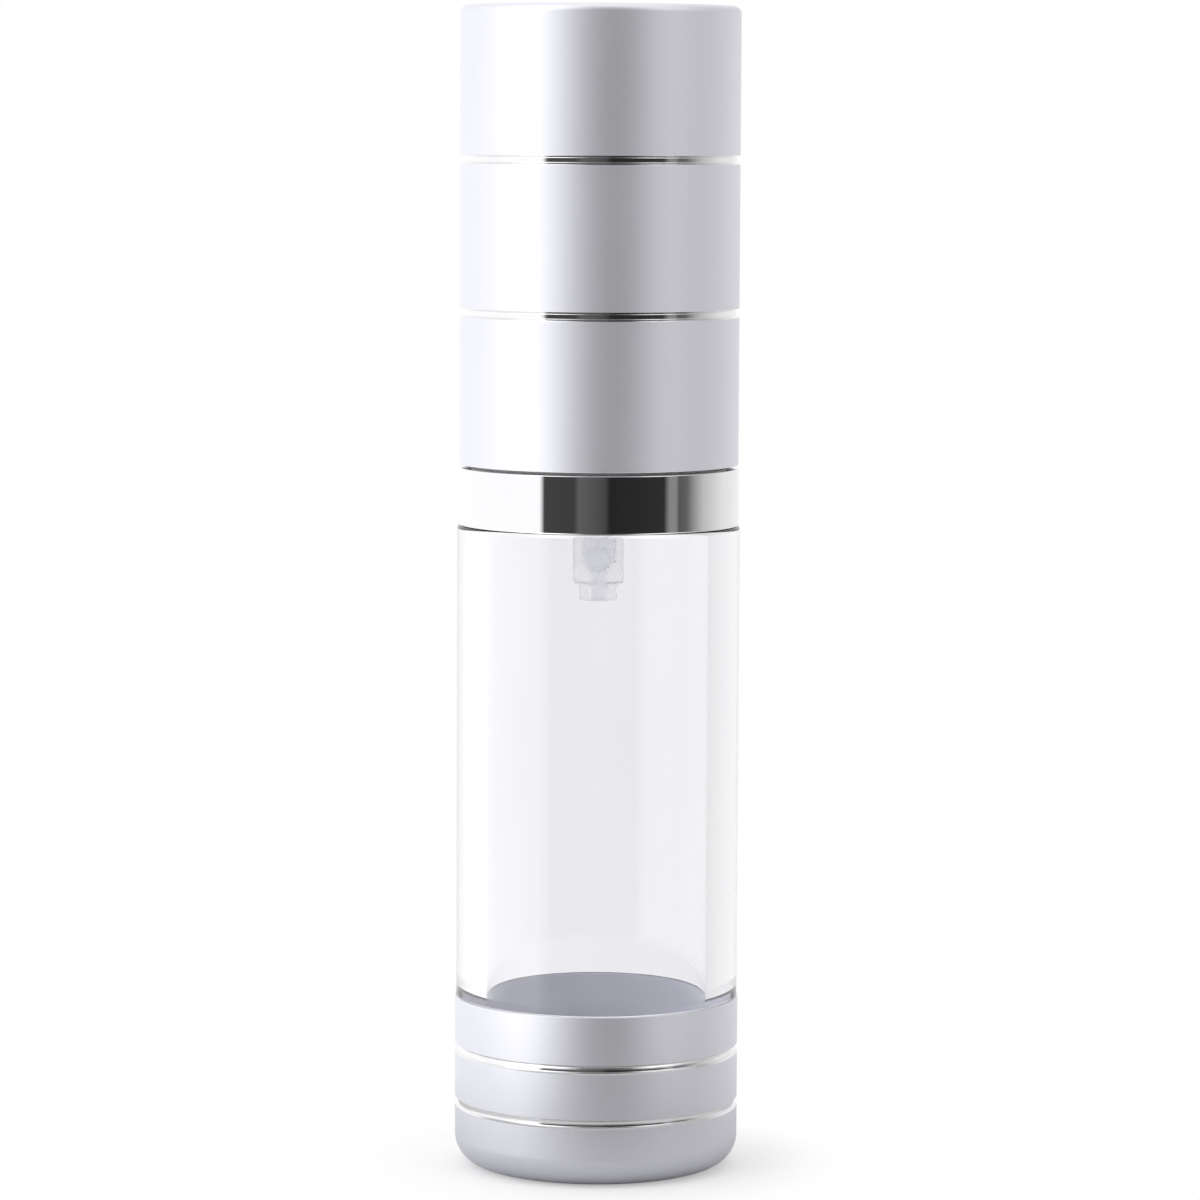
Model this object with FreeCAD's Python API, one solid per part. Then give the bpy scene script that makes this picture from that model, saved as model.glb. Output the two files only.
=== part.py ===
"""Airless pump bottle of 15 ml: a clear bottle with a lift-off overcap, a sprung actuator and a follower.

Millimetres, +Z up. The origin is the centre of the foot, on the surface that the bottle stands on.
Each function makes one piece where it sits, with the overcap on, the pump at rest and the follower down.
"""

import FreeCAD
import Part
import math
import os

# Heights of the stack, from the foot to the top of the overcap
base_height = 17.0
window_length = 47.0
collar_band_height = 5.7
cap_gap = 0.3
cap_length = 45.0

# Outsides of the stack, as steps in radius from the clear bottle
body_diameter = 28.0
base_proud = 0.1
collar_inset = 0.1
cap_inset = 0.2

# Clearances
bonded_gap = 0.05
seal_gap = 0.05
sliding_gap = 0.1
guide_gap = 0.3
stop_gap = 0.1
landing_gap = 0.4
cut_overrun = 2.0

# Bright-cut grooves round the overcap and the base
groove_width = 0.9
groove_depth = 0.3
cap_bands = 3
base_groove_drop = 5.2
base_groove_pitch = 5.4
base_grooves = 2

# Drawn aluminium base
base_wall = 0.6
base_corner_radius = 3.0
foot_width = 2.8
push_up = 0.8
base_vent_diameter = 6.0

# Base plug inside it
plug_floor = 1.4
plug_ring_height = 2.2
plug_ring_wall = 1.5
plug_vent_diameter = 7.0
plug_foot_setback = 0.4

# Clear bottle
body_wall = 3.0
body_edge_rounding = 0.4
neck_step = 1.8
neck_bead = 0.35
neck_bead_height = 1.0
neck_bead_drop = 0.8
bore_shoulder_height = 1.45
bore_shoulder_drop = 0.25
lead_in_share = 0.2

# Follower piston
follower_height = 6.1
follower_skirt = 1.2
follower_lip_height = 1.0
follower_waist = 0.4
follower_web = 1.0
follower_web_drop = 2.7
follower_pocket_diameter = 7.0
follower_pocket_depth = 1.4
follower_rounding = 0.3

# Neck gasket and the flange that it seals
gasket_thickness = 0.6
gasket_inset_share = 0.1
flange_thickness = 1.0
flange_inset = 0.2

# Collar: a plastic core that snaps on the neck, under a polished shell
collar_wall = 0.5
collar_edge_rounding = 0.5
collar_root_rounding = 0.3
collar_tube_height = 12.3
core_skirt = 1.45
core_web = 0.75
core_tube_wall = 0.95

# Overcap: a drawn aluminium shell over a plastic liner
cap_wall = 0.7
cap_edge_radius = 1.2
liner_wall = 1.0
liner_ceiling = 1.2
liner_rounding = 1.0
liner_grip_height = 8.0
liner_grip_step = 0.65
liner_lead_in = 0.4
liner_seat_inset = 0.45
liner_seat_height = 0.6
cap_headroom = 6.0

# Actuator: an aluminium shell over a plastic insert
actuator_wall = 0.4
actuator_edge_radius = 1.2
actuator_guide_depth = 1.6
finger_dish_inset = 2.0
finger_dish_depth = 0.5
insert_skirt = 1.0
insert_ceiling = 2.0
insert_rounding = 0.6
rib_count = 4
rib_thickness = 1.0
spring_seat_width = 0.65
spring_bore_gap = 0.4
socket_depth = 3.4

# Spout
nozzle_drop = 7.0
nozzle_rise = 2.6
nozzle_diameter = 3.6
nozzle_flange_width = 0.5
nozzle_proud = 0.9
nozzle_depth = 4.5
nozzle_face = 0.8
nozzle_rounding = 0.5
orifice_diameter = 1.2
channel_diameter = 2.2
spout_wall = 0.6

# Pump: stroke, cylinder and the snap bead that holds the chaplet
pump_stroke = 5.0
lost_motion = 1.0
cylinder_diameter = 8.0
cylinder_wall = 1.0
cylinder_rise = 8.9
cylinder_floor = 1.0
cylinder_rounding = 0.5
snap_bead = 0.25
snap_bead_height = 0.8
snap_bead_drop = 1.3

# Pump inlet: the tip that shows in the clear bottle, its ball and the cage above the ball
tip_diameter = 5.0
tip_length = 5.3
nub_diameter = 3.8
nub_length = 1.6
inlet_diameter = 1.6
ball_bore_diameter = 3.2
ball_diameter = 2.5
ball_seat_rise = 2.2
ball_lift = 0.9
cage_wall = 0.45
cage_height = 1.2
cage_lug_count = 3
cage_lug_width = 0.7
cage_opening_diameter = 1.4
cage_counterbore = 0.4

# Chaplet on top of the cylinder
chaplet_plate = 1.2
chaplet_skirt = 1.0
chaplet_skirt_height = 2.6
chaplet_boss_rise = 0.7

# Stem, poppet and metering piston
stem_diameter = 3.8
stem_bore_diameter = 2.2
stem_ring_width = 1.0
stem_ring_height = 0.9
port_diameter = 1.0
port_rise = 0.9
poppet_head_width = 1.1
poppet_rim_height = 0.8
poppet_rim_taper = 1.2
poppet_plug_length = 4.2
poppet_flat_depth = 0.45
piston_length = 4.0
piston_sleeve = 0.85
piston_skirt = 0.65
piston_waist = 0.2
piston_lip_height = 0.7
piston_notch_depth = 1.2
piston_seat_width = 0.45
piston_recess_height = 1.7

# Return spring
spring_wire = 0.7
spring_mean_diameter = 8.4
spring_pitch = 1.9
spring_end_gap = 0.5
spring_end_turns = 1
arcs_per_turn = 4

# Radii that follow
body_r = body_diameter / 2
bore_r = body_r - body_wall
base_r = body_r + base_proud
base_inner_r = base_r - base_wall
spigot_r = base_inner_r - bonded_gap
corner_centre_r = base_r - base_corner_radius
push_up_r = corner_centre_r - foot_width - push_up
plug_r = base_inner_r - bonded_gap
plug_ring_r = bore_r - seal_gap
collar_r = body_r - collar_inset
collar_inner_r = collar_r - collar_wall
core_r = collar_inner_r - bonded_gap
neck_r = core_r - core_skirt - sliding_gap
neck_bore_r = bore_r - neck_step
gasket_inset = (neck_r - neck_bore_r) * gasket_inset_share
cap_r = body_r - cap_inset
cap_inner_r = cap_r - cap_wall
liner_r = cap_inner_r - bonded_gap
liner_inner_r = liner_r - liner_wall
liner_grip_r = liner_inner_r - liner_grip_step
tube_r = liner_grip_r - sliding_gap
tube_inner_r = tube_r - collar_wall
core_tube_r = tube_inner_r - bonded_gap
core_tube_inner_r = core_tube_r - core_tube_wall
actuator_r = core_tube_inner_r - guide_gap
actuator_inner_r = actuator_r - actuator_wall
insert_r = actuator_inner_r - bonded_gap
insert_inner_r = insert_r - insert_skirt
cylinder_r = cylinder_diameter / 2
housing_r = cylinder_r + cylinder_wall
stem_r = stem_diameter / 2
stem_bore_r = stem_bore_diameter / 2
channel_r = channel_diameter / 2
nozzle_r = nozzle_diameter / 2
spring_wire_r = spring_wire / 2
spring_mean_r = spring_mean_diameter / 2
spring_bore_r = spring_mean_r - spring_wire_r - spring_bore_gap
ball_r = ball_diameter / 2
ball_bore_r = ball_bore_diameter / 2
cage_r = ball_bore_r + cage_counterbore - bonded_gap

# Heights that follow
shoulder_z = base_height + window_length
collar_top_z = shoulder_z + collar_band_height
cap_bottom_z = collar_top_z + cap_gap
cap_top_z = cap_bottom_z + cap_length
core_top_z = collar_top_z - collar_wall - bonded_gap
flange_top_z = core_top_z - core_web
flange_z = flange_top_z - flange_thickness
neck_top_z = flange_z - gasket_thickness
tube_top_z = collar_top_z + collar_tube_height
liner_ceiling_z = cap_top_z - cap_wall - bonded_gap - liner_ceiling
actuator_top_z = liner_ceiling_z - cap_headroom
actuator_bottom_z = tube_top_z - actuator_guide_depth
nozzle_z = actuator_top_z - nozzle_drop
stem_top_z = nozzle_z - nozzle_rise
spring_seat_z = stem_top_z - socket_depth
insert_top_z = actuator_top_z - actuator_wall - finger_dish_depth - bonded_gap
insert_ceiling_z = insert_top_z - insert_ceiling
chaplet_z = flange_top_z + cylinder_rise
chaplet_top_z = chaplet_z + chaplet_plate
boss_bottom_z = chaplet_top_z + chaplet_boss_rise + pump_stroke + landing_gap
stem_ring_z = chaplet_z - stop_gap - stem_ring_height
piston_top_z = stem_ring_z - lost_motion
piston_z = piston_top_z - piston_length
piston_seat_r = stem_r + seal_gap + piston_seat_width
poppet_head_r = stem_r + poppet_head_width
poppet_rim_z = piston_z - seal_gap - (poppet_head_r - piston_seat_r)
poppet_z = poppet_rim_z - poppet_rim_height
stem_z = poppet_rim_z + poppet_head_width
floor_z = poppet_z - pump_stroke - landing_gap
housing_bottom_z = floor_z - cylinder_floor
tip_z = housing_bottom_z - tip_length
nub_z = tip_z - nub_length
ball_seat_z = tip_z + ball_seat_rise
ball_centre_z = ball_seat_z - ball_bore_r + (ball_r + seal_gap) * math.sqrt(2)
cage_z = ball_centre_z + ball_r + ball_lift + stop_gap
plug_z = base_wall + bonded_gap
plug_top_z = base_corner_radius
plug_ring_top_z = plug_top_z + plug_ring_height

ORIGIN = FreeCAD.Vector(0, 0, 0)
X_AXIS = FreeCAD.Vector(1, 0, 0)
Z_AXIS = FreeCAD.Vector(0, 0, 1)
FULL_TURN = 360
SAME_POINT = 1e-7


def outline_wire(corners):
    """A closed wire in the XZ plane through corners of (radius, height) or (radius, height, rounding)."""
    points = [FreeCAD.Vector(corner[0], 0, corner[1]) for corner in corners]
    turns = []
    for index, corner in enumerate(corners):
        point = points[index]
        rounding = corner[2] if len(corner) > 2 else 0
        if rounding <= 0:
            turns.append((point, None, point))
            continue
        back = (points[index - 1] - point).normalize()
        on = (points[(index + 1) % len(points)] - point).normalize()
        half_angle = back.getAngle(on) / 2
        setback = rounding / math.tan(half_angle)
        inwards = (back + on).normalize()
        middle = point + inwards * (rounding / math.sin(half_angle) - rounding)
        turns.append((point + back * setback, middle, point + on * setback))
    edges = []
    for index, (arrive, middle, leave) in enumerate(turns):
        if middle is not None:
            edges.append(Part.Arc(arrive, middle, leave).toShape())
        following = turns[(index + 1) % len(turns)][0]
        if leave.distanceToPoint(following) > SAME_POINT:
            edges.append(Part.makeLine(leave, following))
    return Part.Wire(edges)


def lathe(corners):
    """A solid turned about the bottle's axis from an outline of corners."""
    return Part.Face(outline_wire(corners)).revolve(ORIGIN, Z_AXIS, FULL_TURN)


def towards_front(shape, height):
    """Lays a piece that was turned about Z along the spout, which points to -Y at that height."""
    shape.rotate(ORIGIN, X_AXIS, 90)
    shape.translate(Z_AXIS * height)
    return shape


def front_bar(radius, near, far, height):
    """A round bar along the spout, between two distances from the bottle's axis."""
    bar = Part.makeCylinder(radius, far - near, Z_AXIS * near)
    return towards_front(bar, height)


def spokes(count, width, inner, outer, bottom, top):
    """Flat radial bars round the axis, the first one along +X, turned by half a step."""
    bar = Part.makeBox(outer - inner, width, top - bottom, FreeCAD.Vector(inner, -width / 2, bottom))
    bars = []
    for index in range(count):
        turned = bar.copy()
        turned.rotate(ORIGIN, Z_AXIS, FULL_TURN * (index + 0.5) / count)
        bars.append(turned)
    return bars


def bright_groove(radius, height):
    """The ring that a round-nosed cutter takes out of a shell of that outside radius."""
    nose = (groove_width**2 / 4 + groove_depth**2) / (2 * groove_depth)
    return Part.makeTorus(radius - groove_depth + nose, nose, Z_AXIS * height)


def overcap_shell():
    shell = lathe(
        [
            (0, cap_top_z),
            (cap_r, cap_top_z, cap_edge_radius),
            (cap_r, cap_bottom_z),
            (cap_inner_r, cap_bottom_z),
            (cap_inner_r, cap_top_z - cap_wall, cap_edge_radius - cap_wall),
            (0, cap_top_z - cap_wall),
        ]
    )
    heights = [cap_bottom_z + cap_length * band / cap_bands for band in range(1, cap_bands)]
    return shell.cut([bright_groove(cap_r, height) for height in heights])


def overcap_liner():
    """Grips the collar's tube with a ring at its mouth, and seats on the collar's step."""
    top = cap_top_z - cap_wall - bonded_gap
    grip_top = collar_top_z + liner_grip_height
    seat_top = collar_top_z + liner_seat_height
    return lathe(
        [
            (0, top),
            (liner_r, top, liner_rounding),
            (liner_r, seat_top),
            (liner_r - liner_seat_inset, seat_top),
            (liner_r - liner_seat_inset, collar_top_z),
            (liner_grip_r + liner_lead_in, collar_top_z),
            (liner_grip_r, collar_top_z + liner_lead_in),
            (liner_grip_r, grip_top),
            (liner_inner_r, grip_top + liner_grip_step),
            (liner_inner_r, liner_ceiling_z, liner_rounding),
            (0, liner_ceiling_z),
        ]
    )


def dished_button(radius, top, edge, offset):
    """A round button with a shallow finger dish, drawn in by an even offset from the outer face."""
    button = lathe(
        [
            (0, actuator_bottom_z - offset),
            (radius, actuator_bottom_z - offset),
            (radius, top, edge),
            (0, top),
        ]
    )
    dish_r = actuator_r - finger_dish_inset
    bowl_r = (dish_r**2 + finger_dish_depth**2) / (2 * finger_dish_depth)
    centre = Z_AXIS * (actuator_top_z - finger_dish_depth + bowl_r)
    return button.cut(Part.makeSphere(bowl_r + offset, centre))


def actuator_shell():
    outside = dished_button(actuator_r, actuator_top_z, actuator_edge_radius, 0)
    inside = dished_button(
        actuator_inner_r,
        actuator_top_z - actuator_wall,
        actuator_edge_radius - actuator_wall,
        actuator_wall,
    )
    spout_hole = front_bar(nozzle_r + bonded_gap, 0, actuator_r + cut_overrun, nozzle_z)
    return outside.cut([inside, spout_hole])


def actuator_insert():
    """Carries the shell, pushes the stem and the spring, and leads the product to the spout."""
    boss_r = spring_bore_r
    head_r = spring_mean_r + spring_wire_r + spring_seat_width
    socket_r = stem_r + bonded_gap
    body = lathe(
        [
            (0, insert_top_z),
            (insert_r, insert_top_z, insert_rounding),
            (insert_r, actuator_bottom_z),
            (insert_inner_r, actuator_bottom_z),
            (insert_inner_r, insert_ceiling_z, insert_rounding),
            (head_r, insert_ceiling_z),
            (head_r, spring_seat_z),
            (boss_r, spring_seat_z),
            (boss_r, boss_bottom_z),
            (socket_r, boss_bottom_z),
            (socket_r, stem_top_z),
            (channel_r, stem_top_z),
            (channel_r, nozzle_z),
            (0, nozzle_z),
        ]
    )
    wall_middle_r = insert_inner_r + insert_skirt / 2
    ribs = spokes(rib_count, rib_thickness, boss_r, wall_middle_r, spring_seat_z, insert_ceiling_z)
    spout = front_bar(nozzle_r + bonded_gap + spout_wall, boss_r, wall_middle_r, nozzle_z)
    channel = front_bar(channel_r, 0, insert_r, nozzle_z)
    seat_near = actuator_r - nozzle_depth
    seat_far = insert_r + cut_overrun
    nozzle_seat = front_bar(nozzle_r + bonded_gap, seat_near, seat_far, nozzle_z)
    return body.fuse([spout, *ribs]).cut([channel, nozzle_seat])


def nozzle_insert():
    """A spout tube with a rounded flange outside the actuator, turned about its own axis."""
    tip = actuator_r + nozzle_proud
    flange = actuator_r + stop_gap
    root = actuator_r - nozzle_depth + bonded_gap
    orifice_r = orifice_diameter / 2
    spout = lathe(
        [
            (orifice_r, tip),
            (nozzle_r + nozzle_flange_width, tip, nozzle_rounding),
            (nozzle_r + nozzle_flange_width, flange),
            (nozzle_r, flange),
            (nozzle_r, root),
            (channel_r, root),
            (channel_r, tip - nozzle_face),
            (orifice_r, tip - nozzle_face),
        ]
    )
    return towards_front(spout, nozzle_z)


def spring_heights():
    """The height of the wire's middle at each quarter turn: closed end turns, then even open turns."""
    bottom = chaplet_top_z + spring_wire_r + seal_gap
    top = spring_seat_z - spring_wire_r - seal_gap
    end_pitch = spring_wire + spring_end_gap
    open_length = top - bottom - 2 * spring_end_turns * end_pitch
    open_turns = max(1, round(open_length / spring_pitch))
    pitches = [end_pitch] * spring_end_turns
    pitches += [open_length / open_turns] * open_turns
    pitches += [end_pitch] * spring_end_turns
    heights = [bottom]
    for pitch in pitches:
        for _ in range(arcs_per_turn):
            heights.append(heights[-1] + pitch / arcs_per_turn)
    return heights


def biarc(start, start_way, end, end_way):
    """Two arcs that leave start along start_way and reach end along end_way, meeting smoothly."""
    span = end - start
    across = 2 * (1 - start_way.dot(end_way))
    along = 2 * span.dot(start_way + end_way)
    reach = (math.sqrt(along**2 + 4 * across * span.dot(span)) - along) / (2 * across)
    first = start + start_way * reach
    second = end - end_way * reach
    joint = (first + second) / 2
    arcs = []
    for begin, control, finish in ((start, first, joint), (joint, second, end)):
        middle = (begin + finish) / 2
        half_chord = (finish - begin).Length / 2
        turn = 2 * math.acos(half_chord / reach)
        outwards = (control - middle).normalize()
        arcs.append(Part.Arc(begin, middle + outwards * half_chord * math.tan(turn / 4), finish).toShape())
    return arcs


def spring_gap(points):
    """The least clear gap between a turn of the wire and the next, on points of its middle line."""
    least = min(
        points[index].distanceToPoint(points[index + arcs_per_turn])
        for index in range(len(points) - arcs_per_turn)
    )
    return least - spring_wire


def return_spring():
    """A compression spring round the stem, between the chaplet and the actuator insert."""
    heights = spring_heights()
    step = 2 * math.pi / arcs_per_turn
    points = []
    ways = []
    for index, height in enumerate(heights):
        angle = index * step
        before = heights[max(index - 1, 0)]
        after = heights[min(index + 1, len(heights) - 1)]
        steps = min(index + 1, len(heights) - 1) - max(index - 1, 0)
        rise = (after - before) / (steps * step)
        around = FreeCAD.Vector(-math.sin(angle), math.cos(angle), 0) * spring_mean_r
        points.append(FreeCAD.Vector(math.cos(angle), math.sin(angle), 0) * spring_mean_r + Z_AXIS * height)
        ways.append((around + Z_AXIS * rise).normalize())
    edges = []
    for index in range(len(points) - 1):
        edges += biarc(points[index], ways[index], points[index + 1], ways[index + 1])
    section = Part.Wire(Part.makeCircle(spring_wire_r, points[0], ways[0]))
    print(f"spring: {(len(points) - 1) / arcs_per_turn:g} turns, least gap {spring_gap(points):.2f} mm")
    return Part.Wire(edges).makePipeShell([section], True, False)


def pump_stem():
    """A tube from the metering piston up into the actuator, with a push ring and two side ports."""
    ring_r = stem_r + stem_ring_width
    stem = lathe(
        [
            (stem_bore_r, stem_top_z),
            (stem_r, stem_top_z),
            (stem_r, stem_ring_z + stem_ring_height),
            (ring_r, stem_ring_z + stem_ring_height),
            (ring_r, stem_ring_z),
            (stem_r, stem_ring_z),
            (stem_r, stem_z),
            (stem_bore_r, stem_z),
        ]
    )
    port_start = FreeCAD.Vector(-stem_diameter, 0, stem_z + port_rise)
    port = Part.makeCylinder(port_diameter / 2, 2 * stem_diameter, port_start, X_AXIS)
    return stem.cut(port)


def pump_poppet():
    """Plugs the stem's foot. Its cone closes the metering piston at rest, and two flats clear the ports."""
    plug_r = stem_bore_r - bonded_gap
    plug_top = stem_z + poppet_plug_length
    poppet = lathe(
        [
            (0, poppet_z),
            (poppet_head_r - poppet_rim_taper, poppet_z),
            (poppet_head_r, poppet_rim_z),
            (stem_r, stem_z),
            (plug_r, stem_z),
            (plug_r, plug_top),
            (0, plug_top),
        ]
    )
    flat_x = plug_r - poppet_flat_depth
    flats = []
    for side in (X_AXIS * flat_x, X_AXIS * -(flat_x + stem_diameter)):
        corner = side + FreeCAD.Vector(0, -stem_r, stem_z)
        flats.append(Part.makeBox(stem_diameter, stem_diameter, poppet_plug_length + cut_overrun, corner))
    return poppet.cut(flats)


def pump_piston():
    """Slides on the stem and wipes the cylinder with a lip at each end."""
    sleeve_r = stem_r + seal_gap
    sleeve_outer_r = sleeve_r + piston_sleeve
    lip_r = cylinder_r - seal_gap
    waist_r = lip_r - piston_waist
    skirt_inner_r = lip_r - piston_skirt
    low_notch_z = piston_z + piston_notch_depth
    high_notch_z = piston_top_z - piston_notch_depth
    recess_z = piston_z + piston_recess_height
    return lathe(
        [
            (piston_seat_r, piston_z),
            (sleeve_outer_r, piston_z),
            (sleeve_outer_r, low_notch_z),
            (skirt_inner_r, low_notch_z),
            (skirt_inner_r, piston_z),
            (lip_r, piston_z),
            (lip_r, piston_z + piston_lip_height),
            (waist_r, piston_z + piston_lip_height + piston_waist),
            (waist_r, piston_top_z - piston_lip_height - piston_waist),
            (lip_r, piston_top_z - piston_lip_height),
            (lip_r, piston_top_z),
            (skirt_inner_r, piston_top_z),
            (skirt_inner_r, high_notch_z),
            (sleeve_outer_r, high_notch_z),
            (sleeve_outer_r, piston_top_z),
            (sleeve_r, piston_top_z),
            (sleeve_r, recess_z),
            (piston_seat_r, recess_z),
        ]
    )


def chaplet():
    """Snaps over the cylinder, guides the stem, stops its push ring and carries the spring."""
    guide_r = stem_r + seal_gap
    inner_r = housing_r + bonded_gap
    outer_r = inner_r + chaplet_skirt
    bead_z = chaplet_z - snap_bead_drop
    bead_half = snap_bead_height / 2
    groove_r = inner_r + snap_bead
    return lathe(
        [
            (guide_r, chaplet_z),
            (inner_r, chaplet_z),
            (inner_r, bead_z + bead_half + bonded_gap),
            (groove_r, bead_z + bonded_gap),
            (groove_r, bead_z - bonded_gap),
            (inner_r, bead_z - bead_half - bonded_gap),
            (inner_r, chaplet_z - chaplet_skirt_height),
            (outer_r, chaplet_z - chaplet_skirt_height),
            (outer_r, chaplet_top_z, cylinder_rounding),
            (spring_bore_r, chaplet_top_z),
            (spring_bore_r, chaplet_top_z + chaplet_boss_rise),
            (guide_r, chaplet_top_z + chaplet_boss_rise),
        ]
    )


def pump_housing():
    """The cylinder, its sealing flange, and the inlet tip that reaches down into the bottle."""
    flange_r = neck_r - flange_inset
    tip_r = tip_diameter / 2
    inlet_r = inlet_diameter / 2
    counterbore_r = ball_bore_r + cage_counterbore
    bead_z = chaplet_z - snap_bead_drop
    bead_half = snap_bead_height / 2
    return lathe(
        [
            (inlet_r, nub_z),
            (nub_diameter / 2, nub_z),
            (nub_diameter / 2, tip_z),
            (tip_r, tip_z),
            (tip_r, housing_bottom_z),
            (housing_r, housing_bottom_z, cylinder_rounding),
            (housing_r, flange_z),
            (flange_r, flange_z),
            (flange_r, flange_top_z),
            (housing_r, flange_top_z),
            (housing_r, bead_z - bead_half),
            (housing_r + snap_bead, bead_z),
            (housing_r, bead_z + bead_half),
            (housing_r, chaplet_z),
            (cylinder_r, chaplet_z),
            (cylinder_r, floor_z),
            (counterbore_r, floor_z),
            (counterbore_r, cage_z),
            (ball_bore_r, cage_z),
            (ball_bore_r, ball_seat_z),
            (inlet_r, ball_seat_z - (ball_bore_r - inlet_r)),
        ]
    )


def ball_cage():
    """A ring pressed in above the inlet ball, with lugs that stop the ball and let the product past."""
    inner_r = cage_r - cage_wall
    top = cage_z + cage_height
    ring = lathe([(inner_r, cage_z), (cage_r, cage_z), (cage_r, top), (inner_r, top)])
    reach_r = inner_r + cage_wall / 2
    lugs = spokes(cage_lug_count, cage_lug_width, cage_opening_diameter / 2, reach_r, cage_z, top)
    return ring.fuse(lugs)


def inlet_ball():
    return Part.makeSphere(ball_r, Z_AXIS * ball_centre_z)


def neck_gasket():
    inner_r = neck_bore_r + gasket_inset
    outer_r = neck_r - gasket_inset
    return lathe([(inner_r, neck_top_z), (outer_r, neck_top_z), (outer_r, flange_z), (inner_r, flange_z)])


def collar_shell():
    """The polished band round the neck, drawn in one with the tube that guides the actuator."""
    step_z = collar_top_z - collar_wall
    rim_z = tube_top_z - collar_wall
    return lathe(
        [
            (collar_r, shoulder_z),
            (collar_r, collar_top_z, collar_edge_rounding),
            (tube_r, collar_top_z, collar_root_rounding),
            (tube_r, tube_top_z, collar_edge_rounding),
            (core_tube_inner_r, tube_top_z),
            (core_tube_inner_r, rim_z),
            (tube_inner_r, rim_z),
            (tube_inner_r, step_z),
            (collar_inner_r, step_z),
            (collar_inner_r, shoulder_z),
        ]
    )


def neck_bead_corners(radius, proud, clearance):
    """The four corners of the snap bead on the neck, upwards, or of the groove that takes it."""
    top = neck_top_z - neck_bead_drop + clearance
    bottom = neck_top_z - neck_bead_drop - neck_bead_height - clearance
    return [
        (radius, bottom),
        (radius + proud, bottom + proud),
        (radius + proud, top - proud),
        (radius, top),
    ]


def collar_core():
    """Snaps over the neck's bead, holds the pump's flange down and lines the collar's tube."""
    skirt_inner_r = neck_r + sliding_gap
    web_inner_r = housing_r + sliding_gap
    tube_end_z = tube_top_z - collar_wall - bonded_gap
    groove = neck_bead_corners(skirt_inner_r, neck_bead, bonded_gap)
    return lathe(
        [
            (core_r, shoulder_z + bonded_gap),
            (core_r, core_top_z),
            (core_tube_r, core_top_z),
            (core_tube_r, tube_end_z),
            (core_tube_inner_r, tube_end_z),
            (core_tube_inner_r, core_top_z),
            (web_inner_r, core_top_z),
            (web_inner_r, flange_top_z),
            (skirt_inner_r, flange_top_z),
            *reversed(groove),
            (skirt_inner_r, shoulder_z + bonded_gap),
        ]
    )


def bottle_body():
    """The clear tube: a spigot for the base, a long window, and a short neck with a snap bead."""
    lead_in = (spigot_r - bore_r) * lead_in_share
    bore_top_z = shoulder_z - bore_shoulder_drop
    return lathe(
        [
            (bore_r + lead_in, plug_top_z),
            (spigot_r, plug_top_z),
            (spigot_r, base_height),
            (body_r, base_height, body_edge_rounding),
            (body_r, shoulder_z, body_edge_rounding),
            (neck_r, shoulder_z),
            *neck_bead_corners(neck_r, neck_bead, 0),
            (neck_r, neck_top_z),
            (neck_bore_r, neck_top_z),
            (neck_bore_r, bore_top_z + bore_shoulder_height),
            (bore_r, bore_top_z, body_edge_rounding),
            (bore_r, plug_top_z + lead_in),
        ]
    )


def follower_piston():
    """A soft piston that rises as the product is used, with two lips and a pocket for the pump's tip."""
    lip_r = bore_r - seal_gap
    waist_r = lip_r - follower_waist
    skirt_inner_r = lip_r - follower_skirt
    pocket_r = follower_pocket_diameter / 2
    bottom = plug_ring_top_z
    top = bottom + follower_height
    web_top = top - follower_web_drop
    web_bottom = web_top - follower_web
    return lathe(
        [
            (0, web_bottom - follower_pocket_depth),
            (pocket_r + follower_web, web_bottom - follower_pocket_depth, follower_rounding),
            (pocket_r + follower_web, web_bottom),
            (skirt_inner_r, web_bottom, follower_rounding),
            (skirt_inner_r, bottom),
            (lip_r, bottom),
            (lip_r, bottom + follower_lip_height),
            (waist_r, bottom + follower_lip_height + follower_waist),
            (waist_r, top - follower_lip_height - follower_waist),
            (lip_r, top - follower_lip_height),
            (lip_r, top),
            (skirt_inner_r + follower_rounding, top),
            (skirt_inner_r, web_top, follower_rounding),
            (pocket_r, web_top, follower_rounding),
            (pocket_r, web_top - follower_pocket_depth, follower_rounding),
            (0, web_top - follower_pocket_depth),
        ]
    )


def base_plug():
    """Closes the bottle's lower end inside the base shell, and vents the space under the follower."""
    vent_r = plug_vent_diameter / 2
    foot_r = corner_centre_r - foot_width + plug_foot_setback + base_wall
    ring_inner_r = plug_ring_r - plug_ring_wall
    hub_z = push_up + base_wall + bonded_gap
    return lathe(
        [
            (vent_r, hub_z),
            (foot_r, hub_z),
            (foot_r, plug_z),
            (plug_r, plug_z, plug_top_z - plug_z),
            (plug_r, plug_top_z),
            (plug_ring_r, plug_top_z),
            (plug_ring_r, plug_ring_top_z),
            (ring_inner_r, plug_ring_top_z),
            (ring_inner_r, hub_z + plug_floor),
            (vent_r, hub_z + plug_floor),
        ]
    )


def base_shell():
    """A drawn cup with a rounded foot, a pushed-up centre and a vent."""
    vent_r = base_vent_diameter / 2
    sheet_shift = base_wall * math.tan(math.pi / 8)
    shell = lathe(
        [
            (vent_r, push_up),
            (push_up_r, push_up),
            (push_up_r + push_up, 0),
            (base_r, 0, base_corner_radius),
            (base_r, base_height),
            (base_inner_r, base_height),
            (base_inner_r, base_wall, base_corner_radius - base_wall),
            (push_up_r + push_up + sheet_shift, base_wall),
            (push_up_r + sheet_shift, push_up + base_wall),
            (vent_r, push_up + base_wall),
        ]
    )
    upper_z = base_height - base_groove_drop
    heights = [upper_z - base_groove_pitch * index for index in range(base_grooves)]
    return shell.cut([bright_groove(base_r, height) for height in heights])


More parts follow.
